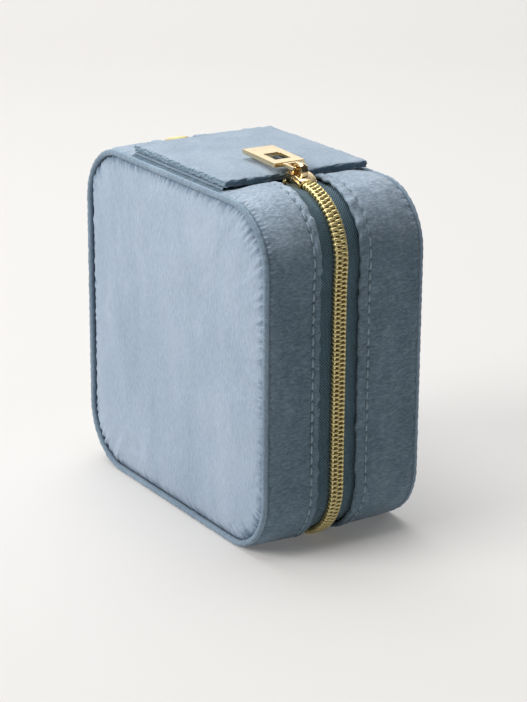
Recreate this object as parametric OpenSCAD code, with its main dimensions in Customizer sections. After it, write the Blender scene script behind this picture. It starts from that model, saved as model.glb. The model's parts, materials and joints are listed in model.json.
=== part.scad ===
// Travel jewelry case: a square zip-round case in velvet that stands on its edge.
// X runs across the thickness, Y from the zipped front to the back, and Z up.
// The base half lies at +X, the lid half at -X, and the spine flap is on top.

/* [Case] */
// Side of the square case
case_size = 100; // [96:1:120]
// Thickness between the two face covers
case_t = 52; // [50:1:60]
// Outer radius of the four corners
corner_r = 18; // [17:1:20]
// Place of the zip seam across the thickness
seam_x = -2.2; // [-3:0.1:-1.5]
// How far the middle of the side band stands proud of its edges
crown = 0.6; // [0.3:0.1:0.6]

/* [Velvet] */
// Thickness of the padded velvet side cover
cover_t = 2.6; // [2.4:0.1:3]
// Diameter of the piping round each big face
piping_d = 1.8; // [1.4:0.1:2]
// Distance from the seam to the hem of each side cover
hem_gap = 6.3; // [6:0.1:7]
// Height of the flat crown on each face cover
face_crown = 0.6; // [0.4:0.1:0.8]

/* [Zip] */
// Width of the two coil rows together
chain_w = 4.2; // [4:0.1:4.4]
// Thickness of a coil row
coil_t = 2; // [1.8:0.1:2]
// How far the coils stand proud of the velvet
coil_proud = 1; // [0.8:0.1:1]
// Gap between the two coil rows
coil_gap = 0.7; // [0.7:0.05:0.8]
// Thickness of the tape
tape_t = 0.6; // [0.4:0.1:0.6]
// How far each tape runs from the seam, in under the velvet
tape_reach = 9.2; // [8.5:0.1:10]

/* [Slider] */
// Length of a slider from its middle to its nose
slider_nose = 3.6; // [3.2:0.1:3.6]
// Length of a slider from its middle to its tail
slider_tail = 4; // [3.8:0.1:4]
// Half width of a slider
slider_hw = 3.1; // [3.1:0.1:3.4]
// Place of the front slider from the middle of the case
front_slider_y = -30.2; // [-30.4:0.1:-30]
// Lift of the front slider's nose, in degrees
front_tilt = 5; // [3:1:5]
// Angle of the rear slider round the rear corner
rear_turn = 62; // [60:1:66]
// Length of a pull's plate
plate_l = 16.5; // [15:0.5:16.5]
// Width of a pull's plate
plate_w = 10.1; // [9:0.1:10.5]
// Angle of the front pull above level
front_lift = 2.5; // [2:0.5:4]
// Angle by which the rear pull hangs down past its slider's tail
rear_drop = 13; // [10:1:13]

/* [Flap] */
// Left edge of the spine flap
flap_left = -23.2; // [-23.3:0.1:-22.8]
// Right edge of the spine flap
flap_right = 23.7; // [22:0.1:24]
// Half length of the spine flap
flap_hl = 25.2; // [24:0.1:25.2]
// Thickness of the spine flap
flap_t = 2; // [1.8:0.1:2]

/* [Inside] */
// Thickness of the moulded board shells
board_t = 1.6; // [1.2:0.1:1.8]
// Number of ring rolls
roll_count = 6; // [6:1:6]
// Diameter of a ring roll
roll_d = 12; // [11:0.5:12]
// Half side of the square mirror
mirror_half = 33; // [30:1:33]

/* [Hidden] */
half = case_size / 2;
case_y = -3.5;
corner_c = half - corner_r;
corner_steps = 12;
eps = 0.01;
edge_w = 4;
face_cover_t = 1.4;
face_foam_t = 0.8;
tape_in = coil_t - coil_proud;
tape_gap = 0.5;
tape_top_half = 22;
coil_top_half = 25.4;
coil_floor = 0.2;
stop_w = 1;
stop_proud = 0.8;
stop_fit = 0.2;
wall_in = cover_t;
lining_in = cover_t + board_t;
lining_t = 1;
lining_floor_t = 0.8;
rim_gap = 5.2;
room_in = lining_in + lining_t;
face_board = face_cover_t + face_foam_t;
face_lining = face_board + board_t;
face_room = face_lining + lining_floor_t;
flap_bottom = case_size + 1;
flap_hem = 1;
flap_skin = 0.6;
bond_inset = 0.4;
hinge_inset = 0.1;
board_fit = 0.05;
divider_t = 1.6;
divider_top = 6;
divider_y = -3;
divider_end = 44.6;
cross_z = 15;
roll_pitch = roll_d + 0.6;
roll_y = [-43.2, -4.4];
roll_card_t = 0.8;
mirror_frame_w = 3.4;
mirror_frame_h = 3;
mirror_card_t = 0.4;
mirror_glass_t = 2;
mirror_fit = 0.1;
top_plate = [2.9, 3.7];
tail_drop = 0.8;
tail_slope_y = -1.2;
low_plate = [-4.2, -3.5];
flange_low = -0.5;
overlap = 0.2;
cut = 1;
flange_in = 2.4;
post_hw = 0.25;
post_l = 1.6;
arch_y = 0.4;
arch_z = 4.1;
arch_r = [1.7, 2.5];
arch_w = 2.2;
pivot = [0.9, 4.9];
bar_d = 1.2;
arm_in = 1.45;
arm_out = 2.45;
arm_t = 1;
neck_y = 3.8;
plate_y = 5;
plate_t = 1.35;
window_hw = 2.4;
window_y = [8.3, 14.5];

// A place measured in from a half's outer face, with side 1 for the base and -1 for the lid
function from_face(side, depth) = side * (case_t / 2 - depth);

// A place measured out from the seam
function from_seam(side, gap) = seam_x + side * gap;

// The points of one corner of the rounded square
function corner_points(r, k) = [
    for (i = [0:corner_steps])
        let (start = 90 * k, a = start + 90 * i / corner_steps, mid = start + 45)
        [sign(cos(mid)) * corner_c + r * cos(a), sign(sin(mid)) * corner_c + r * sin(a)]
];

// The rounded square, moved in from the outer surface
function square_points(inset) = [for (k = [0:3]) each corner_points(corner_r - inset, k)];

// A rounded square plate between two places across the thickness
module layer(x1, x2, inset) {
    translate([min(x1, x2), 0, half])
        rotate([90, 0, 90])
            linear_extrude(abs(x2 - x1))
                polygon(square_points(inset));
}

// A rounded square band between two places and two insets
module band(x1, x2, outer, inner) {
    difference() {
        layer(x1, x2, outer);
        layer(min(x1, x2) - cut, max(x1, x2) + cut, inner);
    }
}

module block(x, y, z) {
    translate([min(x), min(y), min(z)])
        cube([abs(x[1] - x[0]), abs(y[1] - y[0]), abs(z[1] - z[0])]);
}

// Everything above a height, for what the surface under the case presses flat
module above(z) {
    intersection() {
        children();
        block([-case_t, case_t], [-case_size, case_size], [z, 2 * case_size]);
    }
}

// The stretch along the top that the zip leaves free
module top_gap(half_length) {
    block([-case_t, case_t], [-half_length, half_length], [half, 2 * case_size]);
}

// A tray open towards the seam
module tray(side, outer, inner, back, floor_depth) {
    rim = from_seam(side, rim_gap);
    difference() {
        layer(rim, from_face(side, back), outer);
        layer(rim - side * cut, from_face(side, floor_depth), inner);
    }
}

module shell(side) {
    color("tan") tray(side, wall_in, lining_in, face_board, face_lining);
}

module lining(side) {
    color("lightsteelblue") tray(side, lining_in, room_in, face_lining, face_room);
}

module side_cover(side) {
    edge = from_face(side, piping_d);
    inner_edge = from_face(side, piping_d + edge_w);
    hem = from_seam(side, hem_gap);
    color("slategray")
        difference() {
            above(0)
                union() {
                    band(edge, inner_edge, 0, cover_t);
                    band(inner_edge, hem, -crown, cover_t);
                }
            band(hem - side * cut, from_seam(side, tape_reach), tape_in, tape_in + tape_t);
        }
}

module face_foam(side) {
    color("white") layer(from_face(side, face_cover_t), from_face(side, face_board), cover_t);
}

module face_cover(side) {
    color("lightsteelblue")
        union() {
            layer(from_face(side, face_crown), from_face(side, face_cover_t), piping_d);
            layer(from_face(side, 0), from_face(side, face_crown + eps), piping_d + edge_w);
        }
}

// A cord of eight sides round the edge of a face
module piping(side) {
    r = piping_d / 2;
    x = from_face(side, r);
    path = square_points(r);
    centre = square_points(corner_r);
    sides = 8;
    count = len(path);
    tube = r / cos(180 / sides);
    points = [
        for (i = [0:count - 1], j = [0:sides - 1])
            let (
                out = (path[i] - centre[i]) / norm(path[i] - centre[i]),
                a = 360 * (j + 0.5) / sides,
                p = path[i] + out * tube * cos(a)
            )
            [x + tube * sin(a), p[0], half + p[1]]
    ];
    faces = [
        for (i = [0:count - 1], j = [0:sides - 1])
            let (n = (i + 1) % count, m = (j + 1) % sides)
            [i * sides + j, i * sides + m, n * sides + m, n * sides + j]
    ];
    color("slategray") polyhedron(points, faces);
}

module zip_tape(side) {
    color("cadetblue")
        difference() {
            band(from_seam(side, tape_gap), from_seam(side, tape_reach), tape_in, tape_in + tape_t);
            top_gap(tape_top_half);
        }
}

module zip_coil(side) {
    color("goldenrod")
        difference() {
            above(coil_floor)
                band(from_seam(side, coil_gap / 2), from_seam(side, chain_w / 2), -coil_proud, tape_in);
            top_gap(coil_top_half);
        }
}

module zip_stops(side) {
    x = [from_seam(side, coil_gap / 2), from_seam(side, chain_w / 2)];
    z = [case_size - tape_in, case_size + stop_proud];
    y = coil_top_half - stop_w - stop_fit;
    color("gold")
        for (end = [-1, 1])
            block(x, [end * y, end * (y + stop_w)], z);
}

module ring_roll_card() {
    x = from_face(1, face_room);
    z = roll_pitch * roll_count / 2;
    color("white") block([x - roll_card_t, x], roll_y, [half - z, half + z]);
}

module ring_roll(i) {
    x = from_face(1, face_room) - roll_card_t - roll_d / 2;
    z = half + roll_pitch * (i - (roll_count - 1) / 2);
    color("lightsteelblue")
        translate([x, roll_y[0], z])
            rotate([-90, 0, 0])
                cylinder(h = roll_y[1] - roll_y[0], d = roll_d, $fn = 48);
}

module divider_long() {
    color("lightsteelblue")
        block(
            [divider_top, from_face(1, face_room)],
            [divider_y - divider_t / 2, divider_y + divider_t / 2],
            [half - divider_end, half + divider_end]
        );
}

module divider_cross(way) {
    z = half + way * cross_z;
    color("lightsteelblue")
        block(
            [divider_top, from_face(1, face_room)],
            [divider_y + divider_t / 2, divider_end],
            [z - divider_t / 2, z + divider_t / 2]
        );
}

module spine_bond() {
    color("ivory")
        block(
            [from_seam(1, hem_gap), from_face(1, piping_d + edge_w)],
            [-flap_hl + flap_hem, flap_hl - flap_hem],
            [flap_bottom - bond_inset, flap_bottom]
        );
}

// The stiff board in the flap, or with fit 0 the pocket that holds it
module spine_core(fit) {
    x = [flap_left + flap_hem + fit, flap_right - flap_hem - fit];
    y = flap_hl - flap_hem - fit;
    z = [flap_bottom + flap_skin + fit, flap_bottom + flap_t - flap_skin - fit];
    block(x, [-y, y], z);
}

module spine_board() {
    color("tan") spine_core(board_fit);
}

module spine_cover() {
    color("lightsteelblue")
        difference() {
            block([flap_left, flap_right], [-flap_hl, flap_hl], [flap_bottom, flap_bottom + flap_t]);
            spine_core(0);
        }
}

// The cloth that joins the flap's left edge to the lid
module hinge_cloth() {
    x = [flap_left, from_face(-1, piping_d + edge_w - hinge_inset)];
    y = flap_hl - flap_hem;
    color("slategray") block(x, [-y, y], [case_size, case_size + bond_inset]);
}

module mirror_plate(x, size) {
    block(x, [-size, size], [half - size, half + size]);
}

module mirror_backing() {
    x = from_face(-1, face_room);
    color("tan") mirror_plate([x, x + mirror_card_t], mirror_half);
}

module mirror_glass() {
    x = from_face(-1, face_room) + mirror_card_t;
    color("silver") mirror_plate([x, x + mirror_glass_t], mirror_half);
}

module mirror_frame() {
    x = from_face(-1, face_room);
    color("lightsteelblue")
        difference() {
            mirror_plate([x, x + mirror_frame_h], mirror_half + mirror_frame_w);
            mirror_plate([x - cut, x + mirror_frame_h + cut], mirror_half + mirror_fit);
        }
}

// A solid with a straight side, between two places across the slider
module across(x, outline) {
    translate([min(x), 0, 0])
        rotate([90, 0, 90])
            linear_extrude(abs(x[1] - x[0]))
                polygon(outline);
}

// A slider at the origin: its nose points to +Y, and Z is 0 at the velvet
module slider() {
    outline_y = [-slider_tail, slider_nose];
    under = top_plate[0] + eps;
    plate = [
        [-slider_tail, top_plate[0] - tail_drop], [tail_slope_y, top_plate[0]],
        [slider_nose, top_plate[0]], [slider_nose, top_plate[1]],
        [tail_slope_y, top_plate[1]], [-slider_tail, top_plate[1] - tail_drop]
    ];
    flange = [
        [-slider_tail, flange_low], [slider_nose, flange_low], [slider_nose, under],
        [tail_slope_y, under], [-slider_tail, under - tail_drop]
    ];
    union() {
        across([-slider_hw, slider_hw], plate);
        block([-slider_hw, slider_hw], outline_y, low_plate);
        for (s = [-1, 1])
            across([s * flange_in, s * slider_hw], flange);
        block([-post_hw, post_hw], [slider_nose - post_l, slider_nose], [low_plate[0], under]);
        slider_arch();
    }
}

// The loop on the slider that holds the pull's bar
module slider_arch() {
    translate([-arch_w / 2, arch_y, 0])
        rotate([90, 0, 90])
            linear_extrude(arch_w)
                difference() {
                    arch_outline(arch_r[1], top_plate[1] - overlap);
                    arch_outline(arch_r[0], top_plate[1] - cut);
                }
}

module arch_outline(r, foot) {
    union() {
        translate([0, arch_z]) circle(r, $fn = 48);
        translate([-r, foot]) square([2 * r, arch_z - foot]);
    }
}

// A pull with its bar on the origin and its plate towards +Y
module pull() {
    difference() {
        union() {
            translate([-arm_out, 0, 0])
                rotate([0, 90, 0])
                    cylinder(h = 2 * arm_out, d = bar_d, $fn = 48);
            for (s = [-1, 1])
                block([s * arm_in, s * arm_out], [0, plate_y], [-arm_t / 2, arm_t / 2]);
            block([-arm_out, arm_out], [neck_y, plate_y + eps], [-arm_t / 2, arm_t / 2]);
            block([-plate_w / 2, plate_w / 2], [plate_y, plate_y + plate_l], [-plate_t / 2, plate_t / 2]);
        }
        block([-window_hw, window_hw], window_y, [-plate_t, plate_t]);
    }
}

// Sets the front slider, or what hangs on it, in its place on the top
module at_front() {
    translate([seam_x, front_slider_y, case_size]) rotate([front_tilt, 0, 0]) children();
}

// Sets the rear slider in its place on the rear corner, with its nose up the zip
module at_rear() {
    translate([seam_x, corner_c, half + corner_c])
        rotate([-rear_turn, 0, 0])
            translate([0, 0, corner_r])
                mirror([0, 1, 0])
                    children();
}

module front_slider() {
    color("gold") at_front() slider();
}

module front_pull() {
    color("gold")
        at_front()
            translate([0, pivot[0], pivot[1]])
                rotate([front_lift - front_tilt, 0, 0])
                    pull();
}

module rear_slider() {
    color("gold") at_rear() slider();
}

module rear_pull() {
    color("gold")
        at_rear()
            translate([0, pivot[0], pivot[1]])
                rotate([180 + rear_drop, 0, 0])
                    pull();
}

// The hanging rear pull reaches back, so the case stands forward of the origin
translate([0, case_y, 0]) {
    shell(1);  // base_shell
    side_cover(1);  // base_side_cover
    face_foam(1);  // base_face_foam
    face_cover(1);  // base_face_cover
    piping(1);  // base_piping
    zip_tape(1);  // base_zip_tape
    zip_coil(1);  // base_zip_coil
    zip_stops(1);  // base_zip_stops
    lining(1);  // base_lining
    ring_roll_card();
    ring_roll(0);  // ring_roll_1
    ring_roll(1);  // ring_roll_2
    ring_roll(2);  // ring_roll_3
    ring_roll(3);  // ring_roll_4
    ring_roll(4);  // ring_roll_5
    ring_roll(5);  // ring_roll_6
    divider_long();
    divider_cross(-1);  // divider_cross_lower
    divider_cross(1);  // divider_cross_upper
    spine_bond();
    spine_board();
    spine_cover();
    shell(-1);  // lid_shell
    side_cover(-1);  // lid_side_cover
    face_foam(-1);  // lid_face_foam
    face_cover(-1);  // lid_face_cover
    piping(-1);  // lid_piping
    zip_tape(-1);  // lid_zip_tape
    zip_coil(-1);  // lid_zip_coil
    zip_stops(-1);  // lid_zip_stops
    lining(-1);  // lid_lining
    hinge_cloth();
    mirror_backing();
    mirror_glass();
    mirror_frame();
    front_slider();
    front_pull();
    rear_slider();
    rear_pull();
}
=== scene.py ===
"""Travel jewelry case in light blue velvet: the looks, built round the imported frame.

Shapes are worked out in millimetres and turned into metres when a mesh is made.
A place on the case is given by s, the way round the side band from the middle of
the top towards the front, by x, across the thickness, and by n, out from the
rounded square that the velvet follows.
"""
import json
import math

import bmesh
import bpy
import numpy as np
from mathutils import Matrix, Vector


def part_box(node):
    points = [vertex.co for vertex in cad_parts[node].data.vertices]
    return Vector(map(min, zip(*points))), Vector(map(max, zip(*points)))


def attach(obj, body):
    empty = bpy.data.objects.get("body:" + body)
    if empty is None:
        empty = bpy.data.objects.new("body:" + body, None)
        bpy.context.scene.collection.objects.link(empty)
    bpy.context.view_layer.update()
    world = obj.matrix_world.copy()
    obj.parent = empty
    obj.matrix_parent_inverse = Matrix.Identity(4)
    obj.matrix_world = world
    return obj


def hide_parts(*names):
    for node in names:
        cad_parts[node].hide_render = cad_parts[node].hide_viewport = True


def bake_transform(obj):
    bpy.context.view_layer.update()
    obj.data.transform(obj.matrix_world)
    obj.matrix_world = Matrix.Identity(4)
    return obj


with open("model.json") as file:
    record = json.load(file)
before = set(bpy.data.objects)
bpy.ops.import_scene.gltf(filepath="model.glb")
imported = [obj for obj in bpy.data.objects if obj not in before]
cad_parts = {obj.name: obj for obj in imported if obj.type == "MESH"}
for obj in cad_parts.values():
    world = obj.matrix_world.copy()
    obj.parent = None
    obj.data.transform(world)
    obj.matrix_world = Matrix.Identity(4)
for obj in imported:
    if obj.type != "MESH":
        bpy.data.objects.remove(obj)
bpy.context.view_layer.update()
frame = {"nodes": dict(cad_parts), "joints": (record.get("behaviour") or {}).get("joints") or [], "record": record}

MM = 0.001
PI = math.pi
WHITE = (1.0, 1.0, 1.0)

# The middle of the case: what follows measures Y from it
_lo, _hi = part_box("base_piping")
CASE_Y = (_lo[1] + _hi[1]) / 2 / MM
TO_FRAME = np.array([0, CASE_Y, 0])


def box_mm(node):
    lo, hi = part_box(node)
    return np.array(lo) / MM - TO_FRAME, np.array(hi) / MM - TO_FRAME


JOINTS = {j["name"]: np.array(j["pos_m"]) / MM - TO_FRAME for j in frame["joints"]}

# ---------------------------------------------------------------- measures
SEAM, _, CORNER_Z = JOINTS["front_slider_travel"]
CORNER = abs(JOINTS["front_slider_travel"][1])
TOP = box_mm("base_piping")[1][2]
HALF = TOP / 2
RADIUS = TOP - CORNER_Z
FACE = box_mm("base_piping")[1][0]
PIPING_R = (FACE - box_mm("base_piping")[0][0]) / 2
COIL_OUT = box_mm("base_zip_coil")[1][0] - SEAM
COIL_PROUD = -box_mm("base_zip_coil")[0][1] - HALF
HEM = box_mm("base_side_cover")[0][0] - SEAM
TAPE_IN = HALF - box_mm("base_zip_tape")[1][1]
TAPE_EDGE = box_mm("base_zip_tape")[0][0] - SEAM
TAPE_T = 0.6
ROUND = 8 * CORNER + 2 * PI * RADIUS
FLAP_LO, FLAP_HI = box_mm("spine_cover")
FLAP_HALF = FLAP_HI[1]

# The front slider's slope, the front pull's slope and how far the rear pull hangs in
FRONT_TILT = math.radians(5)
FRONT_LIFT = math.radians(2.5)
REAR_DROP = math.radians(13)
# A pull's pivot: ahead of its slider's middle, and above the case
PIVOT_L = 0.9
PIVOT_N = 4.9
_pivot_y = JOINTS["front_pull_swing"][1]
FRONT_SLIDER_Y = _pivot_y - PIVOT_L * math.cos(FRONT_TILT) + PIVOT_N * math.sin(FRONT_TILT)
_out = JOINTS["rear_pull_swing"] - JOINTS["rear_slider_travel"]
REAR_TURN = math.atan2(_out[1], _out[2]) + math.atan2(PIVOT_L, RADIUS + PIVOT_N)

# Where the middle of each slider is on the way round
FRONT_S = -FRONT_SLIDER_Y
REAR_S = ROUND - CORNER - RADIUS * REAR_TURN

# The coil: its pitch, the half sizes of its flattened wire, and where it ends
COIL_PITCH = 1.3
WIRE_R = 0.30
WIRE_W = 0.42
COIL_END = 25.6

# The topstitches: how many go round, and how far in from the hem each row is
STITCHES = 118
GROOVES = {-1: 2.4, 1: 3.2}

# The face panels: the cells of the simulated cloth, and its size against the case
CLOTH_CELLS = 91
SIM_SCALE = 0.01

VIEW_AZIMUTH = -32.55


# ---------------------------------------------------------------- small maths
def smooth(t):
    t = np.clip(t, 0, 1)
    return t * t * (3 - 2 * t)


def waves(values, period, wavelength, seed, count=9, spread=0.5):
    """A smooth random line round a closed length, between about -1 and 1."""
    rng = np.random.default_rng(seed)
    out = np.zeros_like(values, float)
    middle = period / wavelength
    for _ in range(count):
        k = max(1, round(middle * (1 + spread * rng.uniform(-1, 1))))
        out += np.cos(2 * PI * k * values / period + rng.uniform(0, 2 * PI))
    return out / math.sqrt(count) / 1.3


def field(a, b, wavelength, seed, count=14):
    """A smooth random height over a plane, between about -1 and 1."""
    rng = np.random.default_rng(seed)
    a, b = np.broadcast_arrays(a, b)
    out = np.zeros(a.shape)
    for _ in range(count):
        turn = rng.uniform(0, 2 * PI)
        k = 2 * PI / (wavelength * rng.uniform(0.7, 1.5))
        out += np.cos(k * (a * math.cos(turn) + b * math.sin(turn)) + rng.uniform(0, 2 * PI))
    return out / math.sqrt(count) / 1.3


def circle(count):
    return np.arange(count) * 2 * PI / count


def all_round(count):
    """Values of s, evenly spaced all the way round."""
    return np.arange(count) * ROUND / count


def run_length(x, n):
    """How far along a section each of its points is."""
    return np.concatenate([[0], np.cumsum(np.hypot(np.diff(x), np.diff(n)))])


def half_of(side):
    return "base" if side > 0 else "lid"


def stations(s, corner=CORNER, radius=RADIUS):
    """Places and outward normals, as (y, z) pairs, on the way round."""
    arc = radius * PI / 2
    s = np.mod(np.asarray(s, float), 8 * corner + 4 * arc)
    place = np.zeros(s.shape + (2,))
    normal = np.zeros(s.shape + (2,))
    begin = -corner
    for k in range(4):
        turn = PI / 2 * (k + 1)
        out = np.array([math.cos(turn), math.sin(turn)])
        along = np.array([-math.sin(turn), math.cos(turn)])
        t = np.mod(s - begin, 8 * corner + 4 * arc)
        flat = t < 2 * corner
        place[flat] = out * (corner + radius) + (t[flat] - corner)[:, None] * along
        normal[flat] = out
        bend = (t >= 2 * corner) & (t < 2 * corner + arc)
        a = turn + (t[bend] - 2 * corner) / radius
        n = np.stack([np.cos(a), np.sin(a)], -1)
        place[bend] = (out + along) * corner + n * radius
        normal[bend] = n
        begin += 2 * corner + arc
    return place, normal


def lift(s):
    """How far the zip and the hems stand out where they turn the front upper corner."""
    t = np.mod(s, ROUND)
    return 1.3 * smooth((t - FLAP_HALF + 0.6) / 4) * (1 - smooth((t - 44) / 26))


def on_case(s, x, n):
    """Points at s, x and n. What would be under the case is pressed flat."""
    s, x, n = np.broadcast_arrays(np.asarray(s, float), x, n)
    place, normal = stations(s.ravel())
    flat = place + n.ravel()[:, None] * normal
    z = np.maximum(flat[:, 1] + HALF, 0.02)
    return np.stack([x.ravel(), flat[:, 0], z], -1).reshape(s.shape + (3,))


# ---------------------------------------------------------------- meshes
def new_object(name, mesh, material, body, replaces=()):
    obj = bpy.data.objects.new(name, mesh)
    bpy.context.scene.collection.objects.link(obj)
    mesh.materials.append(material)
    mesh.polygons.foreach_set("use_smooth", [True] * len(mesh.polygons))
    if body:
        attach(obj, body)
    if replaces:
        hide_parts(*replaces)
    return obj


def face_outward(mesh):
    bm = bmesh.new()
    bm.from_mesh(mesh)
    bmesh.ops.recalc_face_normals(bm, faces=bm.faces)
    bm.to_mesh(mesh)
    bm.free()


def mesh_from(name, verts, quads=None, tris=None, uv=None):
    """A mesh from arrays, with faces turned outward. Points are in millimetres."""
    quads = np.zeros((0, 4), int) if quads is None else quads
    tris = np.zeros((0, 3), int) if tris is None else tris
    mesh = bpy.data.meshes.new(name)
    loops = np.concatenate([quads.ravel(), tris.ravel()])
    starts = np.concatenate([
        np.arange(len(quads)) * 4,
        len(quads) * 4 + np.arange(len(tris)) * 3,
    ])
    mesh.vertices.add(len(verts))
    mesh.vertices.foreach_set("co", ((np.asarray(verts, float) + TO_FRAME) * MM).ravel())
    mesh.loops.add(len(loops))
    mesh.loops.foreach_set("vertex_index", loops.astype(np.int32))
    mesh.polygons.add(len(starts))
    mesh.polygons.foreach_set("loop_start", starts.astype(np.int32))
    if uv is not None:
        layer = mesh.uv_layers.new(name="Weave")
        layer.data.foreach_set("uv", np.asarray(uv, float).ravel())
    mesh.update(calc_edges=True)
    mesh.validate()
    face_outward(mesh)
    return mesh


def lattice(n, k, around=False, closed=False):
    """The first indices and the quads of the cells of an n by k array of points.
    around joins the ends of the first direction and closed those of the second."""
    first = np.arange(n if around else n - 1)
    second = np.arange(k if closed else k - 1)
    i, j = (a.ravel() for a in np.meshgrid(first, second, indexing="ij"))
    i2, j2 = (i + 1) % n, (j + 1) % k
    return i, j, np.stack([i * k + j, i2 * k + j, i2 * k + j2, i * k + j2], -1)


def grid(name, points, around=False, closed=False, u=None, v=None, cap_first=False, cap_last=False):
    """A mesh over a lattice of points. u and v are lengths for the weave, with one
    more value where a direction is joined."""
    n, k = points.shape[:2]
    i, j, quads = lattice(n, k, around, closed)
    verts = points.reshape(-1, 3)
    u = np.arange(n + 1) if u is None else np.asarray(u)
    v = np.arange(k + 1) if v is None else np.asarray(v)
    uv = np.stack([
        np.stack([u[i], v[j]], -1), np.stack([u[i + 1], v[j]], -1),
        np.stack([u[i + 1], v[j + 1]], -1), np.stack([u[i], v[j + 1]], -1),
    ], 1).reshape(-1, 2)
    tris = []
    rings = []
    if cap_first:
        rings.append(np.arange(k) if closed else np.arange(n) * k)
    if cap_last:
        rings.append((n - 1) * k + np.arange(k) if closed else np.arange(n) * k + k - 1)
    for ring in rings:
        middle = len(verts)
        verts = np.vstack([verts, verts[ring].mean(0)])
        tris.append(np.stack([ring, np.roll(ring, -1), np.full(len(ring), middle)], -1))
    tris = np.vstack(tris) if tris else None
    if tris is not None:
        uv = np.vstack([uv, np.full((len(tris) * 3, 2), v[-1])])
    return mesh_from(name, verts, quads, tris, uv)


def joined(parts):
    """Several (verts, quads) joined into one pair of arrays."""
    verts, quads, count = [], [], 0
    for v, q in parts:
        verts.append(v)
        quads.append(q + count)
        count += len(v)
    return np.vstack(verts), np.vstack(quads)


def rounded_block(lo, hi, radius, cell):
    """Vertices and quads of a box with round edges, about one cell apart."""
    lo, hi = np.array(lo, float), np.array(hi, float)
    inner_lo, inner_hi = lo + radius, hi - radius
    parts = []
    edge = np.linspace(0, 1, 5)
    for axis in range(3):
        a, b = [i for i in range(3) if i != axis]
        spans = []
        for i in (a, b):
            middle = np.linspace(inner_lo[i], inner_hi[i], max(2, int((hi - lo)[i] / cell)))
            low = lo[i] + radius * edge[:-1]
            high = hi[i] - radius * edge[:-1][::-1]
            spans.append(np.concatenate([low, middle, high]))
        grid_a, grid_b = np.meshgrid(*spans, indexing="ij")
        for value in (lo[axis], hi[axis]):
            p = np.zeros(grid_a.shape + (3,))
            p[..., a], p[..., b], p[..., axis] = grid_a, grid_b, value
            parts.append((p.reshape(-1, 3), lattice(*grid_a.shape)[2]))
    verts, quads = joined(parts)
    inner = np.clip(verts, inner_lo, inner_hi)
    out = verts - inner
    length = np.linalg.norm(out, axis=1, keepdims=True)
    verts = inner + radius * out / np.maximum(length, 1e-9)
    return weld(verts, quads)


def weld(verts, quads, digits=4):
    """Joins points that lie on each other."""
    _, first, back = np.unique(np.round(verts, digits), axis=0, return_index=True, return_inverse=True)
    return verts[first], back.reshape(-1)[quads]


# ---------------------------------------------------------------- materials
def nodes_of(name, **sockets):
    """A material, its node tree and its shader, with plain socket values set. An
    underscore in a name stands for a space."""
    mat = bpy.data.materials.new(name)
    mat.use_nodes = True
    shader = mat.node_tree.nodes["Principled BSDF"]
    for socket, value in sockets.items():
        shader.inputs[socket.replace("_", " ")].default_value = value
    return mat, mat.node_tree, shader


def add(nt, kind, **sockets):
    node = nt.nodes.new("ShaderNode" + kind)
    for socket, value in sockets.items():
        node.inputs[socket.replace("_", " ")].default_value = value
    return node


def place_on(nt, kind):
    """Coordinates of a kind on the object: Object, in metres, or Normal."""
    return add(nt, "TexCoord").outputs[kind]


def weave_place(nt):
    """Coordinates along and across the cloth, in millimetres."""
    coords = add(nt, "UVMap")
    coords.uv_map = "Weave"
    return coords.outputs["UV"]


def mapping(nt, scale, place=None):
    """Coordinates on the object, or at place, times scale."""
    if place is None:
        place = place_on(nt, "Object")
    node = add(nt, "Mapping", Scale=scale)
    nt.links.new(place, node.inputs["Vector"])
    return node.outputs["Vector"]


def noise(nt, vector, scale, detail, rough):
    node = add(nt, "TexNoise", Scale=scale, Detail=detail, Roughness=rough)
    nt.links.new(vector, node.inputs["Vector"])
    return node.outputs["Fac"]


def ramp(nt, fac, stops):
    node = add(nt, "ValToRGB")
    elements = node.color_ramp.elements
    while len(elements) < len(stops):
        elements.new(0.5)
    for element, (place, color) in zip(elements, stops):
        element.position = place
        element.color = (*color, 1)
    nt.links.new(fac, node.inputs["Fac"])
    return node.outputs["Color"]


def mix(nt, fac, a, b, kind="MIX"):
    node = add(nt, "Mix")
    node.data_type = "RGBA"
    node.blend_type = kind
    for socket, value in ((node.inputs[0], fac), (node.inputs[6], a), (node.inputs[7], b)):
        if hasattr(value, "links"):
            nt.links.new(value, socket)
        elif isinstance(value, tuple):
            socket.default_value = (*value, 1)
        else:
            socket.default_value = value
    return node.outputs[2]


def math_node(nt, kind, a, b=0.0):
    """A sum on two values, each a number or a socket."""
    node = add(nt, "Math")
    node.operation = kind
    for socket, value in zip(node.inputs, (a, b)):
        if hasattr(value, "links"):
            nt.links.new(value, socket)
        else:
            socket.default_value = value
    return node.outputs[0]


def plus(nt, a, b):
    return math_node(nt, "ADD", a, b)


def times(nt, a, b):
    return math_node(nt, "MULTIPLY", a, b)


def multiplied(nt, color, by):
    return mix(nt, 1.0, color, by, "MULTIPLY")


def bump(nt, shader, height, strength, distance, before=None):
    node = add(nt, "Bump", Strength=strength, Distance=distance)
    nt.links.new(height, node.inputs["Height"])
    if before is not None:
        nt.links.new(before, node.inputs["Normal"])
    nt.links.new(node.outputs["Normal"], shader.inputs["Normal"])
    return node.outputs["Normal"]


def separated(nt, vector):
    node = add(nt, "SeparateXYZ")
    nt.links.new(vector, node.inputs[0])
    return node.outputs


def map_range(nt, value, low, high, to_low=0.0, to_high=1.0):
    node = add(nt, "MapRange", From_Min=low, From_Max=high, To_Min=to_low, To_Max=to_high)
    nt.links.new(value, node.inputs["Value"])
    return node.outputs[0]


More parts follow.
